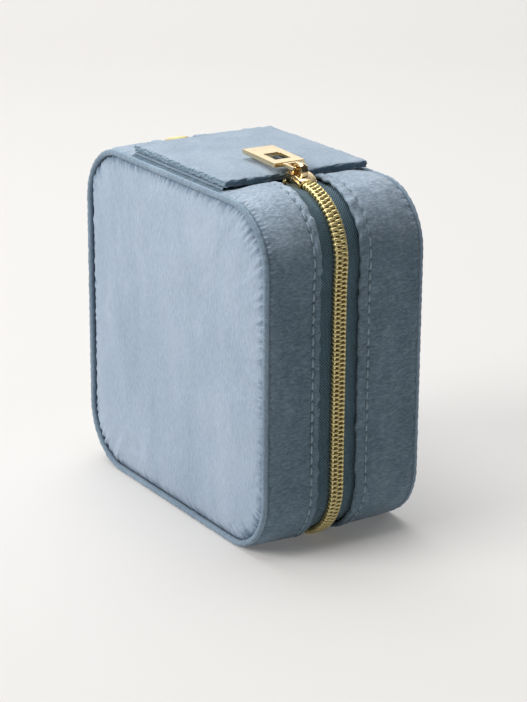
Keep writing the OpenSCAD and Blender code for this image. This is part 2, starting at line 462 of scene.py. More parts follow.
def rim_shade(nt, color):
    """Darkens the short creases that run in from a panel's seam."""
    from_seam = separated(nt, weave_place(nt))[1]
    strokes = noise(nt, mapping(nt, (0.75, 0.10, 1), weave_place(nt)), 1.0, 3.0, 0.6)
    reach = plus(nt, times(nt, from_seam, 0.20), -0.35)
    reach = plus(nt, reach, times(nt, strokes, 1.6))
    return multiplied(nt, color, ramp(nt, reach, [(0.40, (0.36, 0.46, 0.54)), (0.90, WHITE)]))


def painted_crest_highlight(nt, color):
    """Painted highlight along the crest of a cord, where the pile stands open and catches the light."""
    half_way = PI * PIPING_R
    around = separated(nt, weave_place(nt))[1]
    from_under = math_node(nt, "ABSOLUTE", math_node(nt, "SUBTRACT", around, half_way))
    share = map_range(nt, from_under, 0.0, half_way)
    return multiplied(nt, color, ramp(nt, share, [(0.78, WHITE), (0.97, (1.45, 1.47, 1.46))]))


def upward_light(nt, color, painted_top_light, beside_flap):
    """Painted light: lightens cloth that faces up, standing in for the light from above and the sheen of its pile,
    and beside the flap a painted shade darkens it instead.
    """
    # Painted light: the more the cloth faces up, the lighter it is made
    facing = separated(nt, place_on(nt, "Normal"))[2]
    lightest = (painted_top_light * 1.1, painted_top_light * 0.94, painted_top_light * 0.91)
    tops = ramp(nt, facing, [(0.05, WHITE), (0.95, lightest)])
    # Painted shade: beside the flap the cloth is darkened by the factor beside_flap instead of lit from above
    if beside_flap < 1:
        y = separated(nt, place_on(nt, "Object"))[1]
        from_middle = math_node(nt, "ABSOLUTE", math_node(nt, "SUBTRACT", y, CASE_Y * MM))
        clear = map_range(nt, from_middle, (FLAP_HALF - 1.5) * MM, (FLAP_HALF + 0.3) * MM)
        tops = mix(nt, clear, (beside_flap,) * 3, tops)
    return multiplied(nt, color, tops)


def velvet(name, dark, mid, light, sheen, sheen_tint, streak=(260, 260, 60), painted_top_light=1.0,
           beside_flap=1.0, rim=False, crest=False):
    """Short pile: fine fibres, nap streaks and a broad change of shade. Cloth that faces
    up is made lighter by a painted light, by the given top factor, and beside the flap
    a painted shade takes it to the factor beside_flap instead."""
    mat, nt, shader = nodes_of(
        name, Roughness=0.92, Specular_IOR_Level=0.12, Sheen_Weight=sheen,
        Sheen_Roughness=0.35, Sheen_Tint=(*sheen_tint, 1))
    fibres = noise(nt, mapping(nt, streak), 9.0, 4.0, 0.7)
    naps = noise(nt, mapping(nt, (110, 110, 38)), 1.0, 3.0, 0.6)
    broad = noise(nt, mapping(nt, (28, 28, 22)), 1.0, 2.0, 0.5)
    pile = ramp(nt, fibres, [(0.36, dark), (0.51, mid), (0.67, light)])
    nap = ramp(nt, naps, [(0.32, dark), (0.52, mid), (0.74, light)])
    color = mix(nt, 0.35, pile, nap)
    color = multiplied(nt, color, ramp(nt, broad, [(0.3, (0.86, 0.88, 0.90)), (0.7, WHITE)]))
    if painted_top_light > 1:
        color = upward_light(nt, color, painted_top_light, beside_flap)
    if rim:
        color = rim_shade(nt, color)
    if crest:
        color = painted_crest_highlight(nt, color)
    nt.links.new(color, shader.inputs["Base Color"])
    first = bump(nt, shader, fibres, 0.8, 0.0003)
    bump(nt, shader, naps, 0.3, 0.0005, first)
    return mat


def tape_weave(name, dark, light, twill=0.8, wale=0.42):
    """Zip tape: a fine twill that follows the tape. twill and wale are lengths in mm."""
    mat, nt, shader = nodes_of(
        name, Roughness=0.7, Specular_IOR_Level=0.25, Sheen_Weight=0.25, Sheen_Roughness=0.5)
    u, v = separated(nt, weave_place(nt))[:2]
    diagonal = plus(nt, times(nt, u, 2 * PI / twill), times(nt, v, 2 * PI / twill))
    ribs = times(nt, math_node(nt, "SINE", diagonal), 0.5)
    wales = times(nt, math_node(nt, "SINE", times(nt, v, 2 * PI / wale)), 0.35)
    weave = plus(nt, plus(nt, ribs, wales), 0.5)
    grain = noise(nt, mapping(nt, (900, 900, 900)), 1.0, 3.0, 0.6)
    height = plus(nt, times(nt, grain, 0.5), times(nt, weave, 0.75))
    nt.links.new(ramp(nt, height, [(0.25, dark), (0.95, light)]), shader.inputs["Base Color"])
    bump(nt, shader, height, 0.7, 0.00018)
    return mat


def gold(name, base, rough, metal=1.0):
    """Plated metal with a faint brush-lined and handled surface."""
    mat, nt, shader = nodes_of(name, Metallic=metal)
    cloud = noise(nt, mapping(nt, (400, 400, 400)), 1.0, 4.0, 0.6)
    fine = noise(nt, mapping(nt, (2500, 900, 2500)), 1.0, 2.0, 0.5)
    dark = tuple(c * 0.86 for c in base)
    nt.links.new(ramp(nt, cloud, [(0.3, dark), (0.7, base)]), shader.inputs["Base Color"])
    roughness = map_range(nt, cloud, 0.0, 1.0, rough - 0.05, rough + 0.05)
    nt.links.new(roughness, shader.inputs["Roughness"])
    bump(nt, shader, fine, 0.12, 0.00003)
    return mat


def plain_cloth(name, dark, light, scale, rough=0.85, sheen=0.2):
    """Thread, wadding, board or tape with a fine grain."""
    mat, nt, shader = nodes_of(name, Roughness=rough, Specular_IOR_Level=0.2, Sheen_Weight=sheen)
    grain = noise(nt, mapping(nt, (scale, scale, scale)), 1.0, 4.0, 0.65)
    nt.links.new(ramp(nt, grain, [(0.3, dark), (0.7, light)]), shader.inputs["Base Color"])
    bump(nt, shader, grain, 0.5, 0.0002)
    return mat


def mirror_glass(name):
    """Silvered glass, very slightly clouded."""
    mat, nt, shader = nodes_of(name, Metallic=1.0, Roughness=0.03)
    cloud = noise(nt, mapping(nt, (60, 60, 60)), 1.0, 2.0, 0.5)
    silver = ramp(nt, cloud, [(0.3, (0.86, 0.88, 0.89)), (0.7, (0.9, 0.91, 0.92))])
    nt.links.new(silver, shader.inputs["Base Color"])
    return mat


VELVET = velvet(
    "velvet_face", (0.285, 0.355, 0.440), (0.350, 0.425, 0.520), (0.430, 0.505, 0.595),
    0.3, (0.85, 0.90, 1.0), rim=True)
# Painted shade: the side band is a darker copy of the face velvet, standing in for the shade on the sides; painted
# light lightens what faces up, and painted shade darkens it beside the flap
SIDE = velvet(
    "velvet_side", (0.108, 0.160, 0.205), (0.172, 0.248, 0.308), (0.290, 0.385, 0.465),
    0.45, (0.82, 0.90, 1.0), streak=(80, 190, 190), painted_top_light=1.85, beside_flap=0.8)
# Painted shade and light: the flap is darker than the face velvet so that its edges read as shaded, and painted
# light lightens its top again
FLAP = velvet(
    "velvet_flap", (0.125, 0.190, 0.243), (0.175, 0.251, 0.311), (0.235, 0.322, 0.380),
    0.3, (0.85, 0.90, 1.0), streak=(260, 120, 260), painted_top_light=1.74)
TRIM = velvet(
    "velvet_piping", (0.145, 0.200, 0.255), (0.215, 0.285, 0.355), (0.310, 0.390, 0.470),
    0.4, (0.80, 0.88, 1.0), streak=(260, 260, 260), crest=True)
HINGE = velvet(
    "velvet_hinge", (0.145, 0.200, 0.255), (0.215, 0.285, 0.355), (0.310, 0.390, 0.470),
    0.4, (0.80, 0.88, 1.0), streak=(260, 260, 260))
LINING = velvet(
    "velvet_lining", (0.300, 0.385, 0.480), (0.380, 0.465, 0.560), (0.470, 0.555, 0.650),
    0.3, (0.85, 0.90, 1.0), streak=(260, 260, 260))
TAPE = tape_weave("zip_tape", (0.014, 0.040, 0.060), (0.140, 0.250, 0.320))
GOLD = gold("gold_plate", (0.88, 0.70, 0.42), 0.2)
COIL = gold("gold_coil", (0.80, 0.68, 0.33), 0.34, metal=0.7)
THREAD = plain_cloth("thread", (0.23, 0.32, 0.38), (0.39, 0.49, 0.57), 2500, rough=0.6)
BOARD = plain_cloth("board", (0.30, 0.23, 0.15), (0.42, 0.34, 0.23), 700, sheen=0.0)
WADDING = plain_cloth("wadding", (0.72, 0.72, 0.70), (0.88, 0.88, 0.86), 900)
GLUE = plain_cloth("glue_tape", (0.66, 0.62, 0.52), (0.78, 0.74, 0.64), 500, sheen=0.0)
MIRROR = mirror_glass("mirror")

CAD_MATERIALS = {
    "velvet": VELVET, "velvet_side": SIDE, "velvet_trim": TRIM, "zip_tape": TAPE,
    "zip_coil": COIL, "gold_metal": GOLD, "board": BOARD, "foam": WADDING,
    "glue_tape": GLUE, "lining_velvet": LINING, "mirror": MIRROR,
}
for part in frame["record"]["subparts"]:
    obj = frame["nodes"][part["node"]]
    obj.data.materials.clear()
    obj.data.materials.append(CAD_MATERIALS[part["material_slot"]])


# ---------------------------------------------------------------- the velvet halves
def corner_share(s):
    """1 in the corners of the rounded square and 0 along its sides."""
    _, normal = stations(s)
    return smooth(1.6 * np.abs(normal[..., 0] * normal[..., 1]) * 2 - 0.1)


def square_edge(p):
    """The point at p, from 0 to 8, round a square of half side 1: it starts in the
    middle of the top and goes towards the front."""
    p = np.mod(p, 8)
    one = np.ones_like(p)
    side = [p < 1, p < 3, p < 5, p < 7]
    y = np.select(side, [-p, -one, p - 4, one], 8 - p)
    z = np.select(side, [one, 2 - p, -one, p - 6], one)
    return y, z


def simulated_swell(side, rim_at, seed):
    """How far a velvet panel, cut a little large and sewn down all round, is pushed
    out by its wadding: heights in millimetres on a square of cells."""
    u = np.linspace(-1, 1, CLOTH_CELLS)
    a, b = np.meshgrid(u, u, indexing="ij")
    rho = np.maximum(np.maximum(np.abs(a), np.abs(b)), 1e-9)
    a, b = a / rho, b / rho
    at_top, at_front, at_bottom = b > 1 - 1e-9, a < -1 + 1e-9, b < -1 + 1e-9
    p = np.select([at_top, at_front, at_bottom], [np.mod(-a, 8), 2 - b, 4 + a], 6 + b)
    place, normal = stations(p.ravel() / 8 * ROUND)
    yz = (place + rim_at * normal) * rho.reshape(-1, 1)
    rho = rho.ravel()
    start = 0.6 * (1 - rho ** 2) + 0.12 * field(yz[:, 0], yz[:, 1], 5, seed) * (1 - rho)
    verts = np.stack([side * start, yz[:, 0], yz[:, 1]], -1) * SIM_SCALE
    quads = lattice(CLOTH_CELLS, CLOTH_CELLS)[2]
    mesh = bpy.data.meshes.new("cloth")
    mesh.from_pydata(verts.tolist(), [], quads.tolist())
    obj = bpy.data.objects.new("cloth", mesh)
    scene = bpy.context.scene
    scene.collection.objects.link(obj)
    rim = obj.vertex_groups.new(name="rim")
    rim.add([int(k) for k in np.flatnonzero(rho > 1 - 1e-6)], 1.0, "REPLACE")
    cloth = obj.modifiers.new("Cloth", "CLOTH").settings
    cloth.vertex_group_mass = "rim"
    cloth.quality = 5
    cloth.mass = 0.25
    cloth.tension_stiffness = 20
    cloth.compression_stiffness = 20
    cloth.shear_stiffness = 8
    cloth.bending_stiffness = 0.3
    cloth.shrink_min = -0.035
    gravity = tuple(scene.gravity)
    scene.gravity = (side * 9.81, 0, 0)
    for step in range(1, 25):
        scene.frame_set(step)
    shape = obj.evaluated_get(bpy.context.evaluated_depsgraph_get()).data
    out = np.zeros(len(verts) * 3)
    shape.vertices.foreach_get("co", out)
    scene.gravity = gravity
    scene.frame_set(1)
    bpy.data.objects.remove(obj)
    bpy.data.meshes.remove(mesh)
    heights = side * out.reshape(-1, 3)[:, 0] / SIM_SCALE
    return heights.reshape(CLOTH_CELLS, CLOTH_CELLS)


def swell_at(heights, s, rho):
    """The simulated height at s round the panel and rho out from its middle."""
    y, z = square_edge(8 * s / ROUND)
    place = [(c * rho + 1) / 2 * (CLOTH_CELLS - 1) for c in (y, z)]
    low = [np.clip(np.floor(c).astype(int), 0, CLOTH_CELLS - 2) for c in place]
    fy, fz = place[0] - low[0], place[1] - low[1]
    i, j = low
    return (heights[i, j] * (1 - fy) * (1 - fz) + heights[i + 1, j] * fy * (1 - fz)
            + heights[i, j + 1] * (1 - fy) * fz + heights[i + 1, j + 1] * fy * fz)


def face_panel(name, side, seed, node):
    """A padded face: it swells from the piping seam, with gathers along the seam."""
    count, rings = 900, 96
    s = all_round(count)
    t = np.linspace(0, 1, rings) ** 1.45 * 0.985
    edge = -1.55
    place, normal = stations(s)
    rim = place + edge * normal
    shrink = 1 - t
    yz = rim[:, None, :] * shrink[None, :, None]
    depth = t * (HALF + edge)
    corner = corner_share(s)
    stitch = 0.5 + 0.5 * np.cos(2 * PI * s / (ROUND / 112))
    gather = waves(s, ROUND, 3.0, seed, 16, 0.45)
    pull = waves(s, ROUND, 9.0, seed + 1, 9, 0.5)
    heights = simulated_swell(side, edge, seed + 7)
    swell = 1.7 * np.tanh(swell_at(heights, s[:, None], shrink[None, :]) / 1.7)
    crown = 0.55 * (1 - shrink ** 2)
    near = np.exp(-((depth - 1.3) / 2.3) ** 2)
    far = np.exp(-(depth / 9.0) ** 1.3) - np.exp(-(depth / 1.2))
    height = np.broadcast_to(-0.25 + swell + crown, (count, rings)).copy()
    height += near * (0.17 + 0.36 * corner[:, None]) * gather[:, None]
    height += far * (0.10 + 0.24 * corner[:, None]) * pull[:, None]
    height -= 0.12 * stitch[:, None] * np.exp(-(depth / 1.1) ** 2)
    height += 0.16 * field(yz[..., 0], yz[..., 1], 26, seed + 2) * smooth(depth / 10)
    height += 0.05 * field(yz[..., 0], yz[..., 1], 7, seed + 3) * smooth(depth / 6)
    over_wadding = FACE - 2.1 + 0.78 * smooth(depth / 1.0)
    x = side * np.maximum(FACE - 2 * PIPING_R + 0.3 + height, over_wadding)
    points = np.stack([x, yz[..., 0], yz[..., 1] + HALF], -1)
    mesh = grid(name, points, around=True, cap_last=True, u=np.append(s, ROUND), v=depth)
    obj = new_object(name, mesh, VELVET, half_of(side), (node,))


def band_profile(side, groove):
    """Across a side band, from under the piping to the turned-in hem: x from the
    seam, n, and the number of points before the cloth turns in."""
    start = abs(side * (FACE - 2 * PIPING_R) - SEAM) + 0.5
    hem_line = HEM + 0.75
    body = np.concatenate([
        np.linspace(start, start - 2.0, 9)[:-1],
        np.linspace(start - 2.0, HEM + groove + 0.9, 16)[:-1],
        np.linspace(HEM + groove + 0.9, hem_line, 22),
    ])
    from_piping = start - body
    top = -0.75 + 0.85 * (1 - np.exp(-from_piping / 0.55)) + 0.52 * (1 - np.exp(-from_piping / 4.5))
    turn = np.linspace(0, PI, 10)[1:]
    roll = 0.62
    roll_x = hem_line - roll * 1.2 * np.sin(turn)
    roll_n = top[-1] - roll + roll * np.cos(turn)
    under = np.array([HEM + 1.3, HEM + 2.4])
    x = np.concatenate([body, roll_x, under])
    n = np.concatenate([top, roll_n, np.full(2, roll_n[-1])])
    return x, n, len(body)


def side_band(name, side, groove, seed, node):
    """A velvet side: gathered at the piping, crowned, stitched beside the hem."""
    count = 1500
    s = all_round(count)
    x, n, _ = band_profile(side, groove)
    gap = x.max() - x
    hem_far = x - HEM
    stitch = np.cos(2 * PI * s / (ROUND / STITCHES))[:, None]
    gather = waves(s, ROUND, 4.2, seed, 14, 0.5)[:, None]
    ripple = waves(s, ROUND, 6.5, seed + 1, 12, 0.5)[:, None]
    edge = waves(s, ROUND, 5.0, seed + 2, 14, 0.6)[:, None]
    slow = waves(s, ROUND, 40, seed + 4, 6, 0.5)[:, None]
    out = np.broadcast_to(n, (count, len(n))).copy()
    near_piping = np.exp(-((gap - 1.2) / 1.7) ** 2)
    at_groove = np.exp(-((hem_far - groove) / 0.55) ** 2)
    at_hem = smooth((groove - hem_far) / 1.2) * smooth((hem_far + 0.6) / 0.6)
    tuck = np.cos(2 * PI * s / (ROUND / 270))[:, None]
    out += 0.16 * near_piping * gather
    out += 0.11 * np.exp(-((gap - 0.9) / 0.6) ** 2) * tuck
    out -= at_groove * (0.34 + 0.16 * stitch)
    out += at_hem * (0.12 + 0.20 * ripple + 0.06 * stitch)
    out += 0.10 * slow * smooth(gap / 4) * smooth(hem_far / 2)
    out += 0.05 * field(s[:, None], x[None, :], 5, seed + 3) * smooth(gap / 2)
    wide = x + 0.26 * edge * np.exp(-(np.clip(hem_far, 0, 9) / 1.6) ** 2)
    out += lift(s)[:, None] * smooth((gap - 1.0) / 8)
    top_under_flap = smooth((FLAP_HALF - np.minimum(s, ROUND - s)) / 1.5)[:, None]
    under_flap = 0.72
    out = np.where(out > under_flap, out + (under_flap - out) * top_under_flap, out)
    points = on_case(s[:, None], SEAM + side * wide, out)
    mesh = grid(name, points, around=True, u=np.append(s, ROUND), v=run_length(x, n))
    new_object(name, mesh, SIDE, half_of(side), (node,))


def piping_cord(name, side, seed, node):
    """Covered cord: a tube with the small slanting creases of gathered cloth."""
    count, sides = 1200, 16
    s = all_round(count)
    a = circle(sides)
    crease = np.sin(2 * PI * s[:, None] / (ROUND / 150) + 1.2 * np.sin(a)[None, :])
    lump = waves(s, ROUND, 6, seed, 12, 0.5)[:, None]
    r = PIPING_R * (1.0 + 0.05 * crease + 0.05 * lump)
    x = side * (FACE - PIPING_R) + r * np.sin(a)
    n = -PIPING_R + r * np.cos(a)
    points = on_case(s[:, None], x, n)
    v = np.arange(sides + 1) * 2 * PI * PIPING_R / sides
    mesh = grid(name, points, around=True, closed=True, u=np.append(s, ROUND), v=v)
    new_object(name, mesh, TRIM, half_of(side), (node,))


def thread_stitches(name, body, places, x, n_of, length, radius, sink):
    """Stitches of thread at x, each a short arched strand that dives at its ends."""
    steps, sides = 9, 6
    t = np.linspace(0, 1, steps)
    a = circle(sides)
    arch = np.sin(PI * t)
    s = places[:, None] + (t - 0.5) * length
    centre_n = n_of(s) - sink + (sink + radius * 0.9) * arch ** 0.6
    r = radius * (0.55 + 0.45 * arch ** 0.5)
    n = centre_n[..., None] + r[None, :, None] * np.cos(a)
    points = on_case(s[..., None], x + r[None, :, None] * np.sin(a), n)
    one = lattice(steps, sides, closed=True)[2]
    first = np.arange(len(places)) * steps * sides
    quads = (one[None] + first[:, None, None]).reshape(-1, 4)
    mesh = mesh_from(name, points.reshape(-1, 3), quads)
    new_object(name, mesh, THREAD, body)


def hem_stitches(side, groove):
    """The row of topstitches beside a hem."""
    body = half_of(side)
    places = all_round(STITCHES) + ROUND / STITCHES / 2
    x, n, flat = band_profile(side, groove)
    level = np.interp(HEM + groove, x[:flat][::-1], n[:flat][::-1]) - 0.34
    thread_stitches(
        body + "_topstitches", body, places, SEAM + side * (HEM + groove),
        lambda s: level + 0.9 * lift(s), length=2.6, radius=0.30, sink=0.05)


for side, half in ((-1, "lid"), (1, "base")):
    face_panel(half + "_face_velvet", side, 11 + side, half + "_face_cover")
    side_band(half + "_side_velvet", side, GROOVES[side], 31 + side, half + "_side_cover")
    piping_cord(half + "_piping_cord", side, 51 + side, half + "_piping")
    hem_stitches(side, GROOVES[side])


# ---------------------------------------------------------------- the zip
def parting(s):
    """How far each coil row stands off the seam where a slider has parted them."""
    front = smooth((FRONT_S - 2.0 - s) / 7.0) * 1.9
    rear = smooth((s - REAR_S - 2.5) / 9.0) * 0.36
    return front + rear


def zip_tape(side, node):
    """The tape: a woven strip with a raised cord beside the coil."""
    half_gap = abs(box_mm("base_zip_stops")[0][1]) - 3
    s = np.linspace(half_gap, ROUND - half_gap, 900)
    e = np.concatenate([np.linspace(TAPE_EDGE, 4.2, 16)[:-1], np.linspace(4.2, 9.0, 7)])
    rib = 0.16 * np.exp(-((e - 2.75) / 0.42) ** 2) + 0.08 * np.exp(-((e - 3.7) / 0.3) ** 2)
    top = -TAPE_IN + rib
    x = np.concatenate([e, e[::-1]])
    n = np.concatenate([top, np.full(len(e), -TAPE_IN - TAPE_T)])
    shift = parting(s)[:, None] * np.exp(-x / 9.0)
    rise = 0.05 * waves(s, ROUND, 12, 71 + side, 8)[:, None] + lift(s)[:, None]
    points = on_case(s[:, None], SEAM + side * (x + shift), n + rise)
    across = run_length(x, n)
    across = np.append(across, across[-1] + TAPE_T)
    mesh = grid(node + "_woven", points, closed=True, u=s, v=across, cap_first=True, cap_last=True)
    new_object(node + "_woven", mesh, TAPE, half_of(side), (node,))


def coil_turn(steps):
    """One turn of the coil: places along, out from the seam, and up, in mm, on a
    smooth curve through the points of its shape."""
    shape = np.array([
        [-0.30, 1.75, -0.78], [-0.20, 2.15, -0.35], [-0.10, 2.18, 0.25], [-0.04, 1.80, 0.62],
        [0.00, 1.10, 0.72], [0.03, 0.35, 0.66], [0.06, -0.18, 0.40], [0.10, -0.34, -0.05],
        [0.16, -0.12, -0.50], [0.28, 0.50, -0.72], [0.46, 1.15, -0.80],
    ])
    t = np.linspace(0, len(shape), steps, endpoint=False)
    closed = np.vstack([shape, shape[:1] + [COIL_PITCH, 0, 0]])
    before = np.vstack([shape[-1:] - [COIL_PITCH, 0, 0], closed, shape[1:2] + [COIL_PITCH, 0, 0]])
    out = []
    for value in t:
        i = int(value)
        f = value - i
        p0, p1, p2, p3 = before[i:i + 4]
        squared = 2 * p0 - 5 * p1 + 4 * p2 - p3
        cubed = 3 * p1 - p0 - 3 * p2 + p3
        out.append(0.5 * (2 * p1 + (p2 - p0) * f + squared * f ** 2 + cubed * f ** 3))
    return np.array(out)


def zip_coil(side, node):
    """One row of coil teeth: a single wire wound round and round along the tape."""
    turns = int((ROUND - 2 * COIL_END) / COIL_PITCH)
    steps, sides = 18, 7
    turn = coil_turn(steps)
    along = (np.arange(turns)[:, None] * COIL_PITCH + turn[None, :, 0]).ravel()
    s = COIL_END + along + (COIL_PITCH / 2 if side > 0 else 0)
    e = np.tile(turn[:, 1], turns) * 0.85 + 0.02
    n = np.tile(turn[:, 2], turns)
    centre = np.stack([s, e, n], -1)
    tangent = np.gradient(centre, axis=0)
    tangent /= np.linalg.norm(tangent, axis=1, keepdims=True)
    one = np.cross(tangent, [1.0, 0, 0])
    one /= np.maximum(np.linalg.norm(one, axis=1, keepdims=True), 1e-6)
    two = np.cross(tangent, one)
    a = circle(sides)
    ring = centre[:, None, :] + WIRE_R * np.cos(a)[None, :, None] * one[:, None, :]
    ring = ring + WIRE_W * np.sin(a)[None, :, None] * two[:, None, :]
    shift = parting(s)[:, None]
    rise = lift(ring[..., 0]) + 0.08
    points = on_case(ring[..., 0], SEAM + side * (ring[..., 1] + shift), ring[..., 2] + rise)
    mesh = grid(node + "_wire", points, closed=True, cap_first=True, cap_last=True)
    new_object(node + "_wire", mesh, COIL, half_of(side), (node,))


def coil_binding(side, node):
    """The sewn edge over the backs of the teeth: a cord that rises on every turn."""
    ends = COIL_END + 0.2
    s = np.linspace(ends, ROUND - ends, 2000)
    a = circle(9)
    phase = 2 * PI * s[:, None] / COIL_PITCH + (PI if side > 0 else 0)
    r = 0.32 * (1 + 0.24 * np.cos(phase + 0.8 * np.sin(a)))
    e = 1.62 + r * np.sin(a) + parting(s)[:, None]
    n = 0.52 + r * np.cos(a) + lift(s)[:, None]
    points = on_case(s[:, None], SEAM + side * e, n)
    mesh = grid(node + "_binding", points, closed=True, cap_first=True, cap_last=True)
    new_object(node + "_binding", mesh, COIL, half_of(side))


for side, half in ((-1, "lid"), (1, "base")):
    zip_tape(side, half + "_zip_tape")
    zip_coil(side, half + "_zip_coil")
    coil_binding(side, half + "_zip_coil")


# ---------------------------------------------------------------- sliders and pulls
def prism(bm, outline, z0, z1):
    """A straight-sided solid over an outline of (x, y) points."""
    low = [bm.verts.new((x, y, z0)) for x, y in outline]
    high = [bm.verts.new((x, y, z1)) for x, y in outline]
    bm.faces.new(low[::-1])
    bm.faces.new(high)
    for i in range(len(outline)):
        j = (i + 1) % len(outline)
        bm.faces.new((low[i], low[j], high[j], high[i]))


def cells(bm, spans, z0, z1):
    """A flat plate made of rectangles that share edges, from z0 to z1."""
    made = {}

    def corner(x, y, z):
        key = (round(x, 4), round(y, 4), z)
        if key not in made:
            made[key] = bm.verts.new((x, y, z))
        return made[key]

    edges = {}
    for x0, x1, y0, y1 in spans:
        ring = [(x0, y0), (x1, y0), (x1, y1), (x0, y1)]
        bm.faces.new([corner(x, y, z1) for x, y in ring])
        bm.faces.new([corner(x, y, z0) for x, y in ring[::-1]])
        for i in range(4):
            a, b = ring[i], ring[(i + 1) % 4]
            if edges.pop((b, a), None) is None:
                edges[(a, b)] = True
    for a, b in edges:
        bm.faces.new([corner(*a, z0), corner(*b, z0), corner(*b, z1), corner(*a, z1)])


def bevelled(bm, width):
    """Rounds the sharp edges, width from each."""
    bmesh.ops.recalc_face_normals(bm, faces=bm.faces)
    least = math.radians(28)
    sharp = [e for e in bm.edges if e.is_manifold and e.calc_face_angle(0) > least]
    bmesh.ops.bevel(
        bm, geom=sharp, offset=width, segments=3, profile=0.6, affect="EDGES", clamp_overlap=True)


def metal_mesh(name, bm, matrix):
    mesh = bpy.data.meshes.new(name)
    bm.transform(Matrix.Scale(MM, 4) @ Matrix.Translation(TO_FRAME) @ matrix)
    bm.to_mesh(mesh)
    bm.free()
    return mesh


PLATE_LOW, PLATE_TOP = 2.95, 3.7
TAIL_FROM = -1.2
TAIL_SLOPE = 0.8 / 2.8


def slider_plan(grow=0.0):
    """The plan of a slider in two parts: the shoulders and nose, and the tail."""
    nose = [(1.3, 3.6), (2.7, 3.15), (3.1, 2.2), (3.05, 1.0), (2.8, TAIL_FROM)]
    tail = [(2.8, TAIL_FROM), (2.75, -3.4), (2.3, -3.95)]
    return [
        [(x + grow, y) for x, y in half] + [(-x - grow, y) for x, y in half[::-1]]
        for half in (nose, tail)
    ]


def sloped_tail(bm):
    """Drops what lies behind the middle, so that the tail slopes down."""
    for v in bm.verts:
        if v.co.y < TAIL_FROM and v.co.z > 0:
            v.co.z -= (TAIL_FROM - v.co.y) * TAIL_SLOPE


def tube_along(path, half_w, half_t, steps=12):
    """A strap of rounded section along a path in the plane x = 0."""
    path = np.array(path)
    tangent = np.gradient(path, axis=0)
    tangent /= np.linalg.norm(tangent, axis=1, keepdims=True)
    out = np.stack([-tangent[:, 1], tangent[:, 0]], -1)
    a = circle(steps)
    power = 0.55
    across = half_w * np.sign(np.cos(a)) * np.abs(np.cos(a)) ** power
    thick = half_t * np.sign(np.sin(a)) * np.abs(np.sin(a)) ** power
    y = path[:, 0, None] + out[:, 0, None] * thick
    z = path[:, 1, None] + out[:, 1, None] * thick
    x = np.broadcast_to(across, y.shape)
    return np.stack([x, y, z], -1)


def add_grid(bm, points):
    """A closed tube over rows of points, with a face at each end."""
    rows = [[bm.verts.new(p) for p in row] for row in points]
    k = len(rows[0])
    for a, b in zip(rows[:-1], rows[1:]):
        for j in range(k):
            bm.faces.new((a[j], b[j], b[(j + 1) % k], a[(j + 1) % k]))
    bm.faces.new(rows[0])
    bm.faces.new(rows[-1][::-1])


def slider(name, matrix):
    """A coil zip slider: two plates, side flanges, the post and the pull's arch."""
    bm = bmesh.new()
    for plan in slider_plan():
        prism(bm, plan, PLATE_LOW, PLATE_TOP)
    for s in (-1, 1):
        prism(bm, [
            (s * 2.42, -3.85), (s * 2.95, -3.85), (s * 2.95, TAIL_FROM),
            (s * 2.95, 2.9), (s * 2.42, 2.9), (s * 2.42, TAIL_FROM),
        ], 0.7, PLATE_LOW + 0.1)
        for y0, y1 in ((-3.6, -0.75), (-0.45, 2.5)):
            grip = [(s * 2.85, y0), (s * 3.18, y0), (s * 3.18, y1), (s * 2.85, y1)]
            prism(bm, grip, 1.5, PLATE_LOW - 0.1)
    sloped_tail(bm)
    for plan in slider_plan(-0.1):
        prism(bm, plan, -4.15, -3.55)
    prism(bm, [(-0.24, 2.1), (0.24, 2.1), (0.24, 3.5), (-0.24, 3.5)], -3.8, PLATE_LOW + 0.1)
    bevelled(bm, 0.13)
    turn = np.linspace(0, PI, 25)
    middle, height, r = 0.4, 4.1, 2.1
    path = [(middle - r, PLATE_TOP - 0.3), (middle - r, PLATE_TOP + 0.1)]
    path += [(middle - r * math.cos(a), height + r * math.sin(a)) for a in turn]
    path += [(middle + r, PLATE_TOP + 0.1), (middle + r, PLATE_TOP - 0.3)]
    add_grid(bm, tube_along(path, 1.1, 0.4))
    return metal_mesh(name, bm, matrix)


def pull(name, matrix):
    """A pull: a bar in the arch, two arms, a neck, and a plate with a window."""
    bm = bmesh.new()
    plate = [-5.05, -2.45, 2.45, 5.05]
    rows = [5.0, 8.3, 14.5, 21.5]
    spans = []
    for i in range(3):
        for j in range(3):
            if not (i == 1 and j == 1):
                spans.append((plate[i], plate[i + 1], rows[j], rows[j + 1]))
    cells(bm, spans, -0.65, 0.65)
    cells(bm, [
        (-2.45, -1.45, -0.35, 3.8), (1.45, 2.45, -0.35, 3.8),
        (-2.45, -1.45, 3.8, 5.2), (-1.45, 1.45, 3.8, 5.2), (1.45, 2.45, 3.8, 5.2),
    ], -0.5, 0.5)
    bevelled(bm, 0.2)
    a = circle(16)
    bar = [
        np.stack([np.full(16, x), 0.55 * np.cos(a), 0.55 * np.sin(a)], -1)
        for x in (-2.4, -1, 1, 2.4)
    ]
    add_grid(bm, bar)
    return metal_mesh(name, bm, matrix)


def turn_x(angle):
    return Matrix.Rotation(angle, 4, "X")


def shift(x, y, z):
    return Matrix.Translation((x, y, z))


AT_FRONT = shift(SEAM, FRONT_SLIDER_Y, TOP) @ turn_x(FRONT_TILT)
MIRROR_Y = Matrix.Diagonal((1, -1, 1, 1))
AT_REAR = shift(SEAM, CORNER, CORNER_Z) @ turn_x(-REAR_TURN) @ shift(0, 0, RADIUS) @ MIRROR_Y
PULL_AT = shift(0, PIVOT_L, PIVOT_N)


def metal_piece(node, build, matrix):
    """A slider or a pull, which has the name of its body and of the CAD piece."""
    name = node + "_gold"
    mesh = build(name, matrix)
    new_object(name, mesh, GOLD, node, (node,))
    face_outward(mesh)
    mesh.set_sharp_from_angle(angle=math.radians(24))


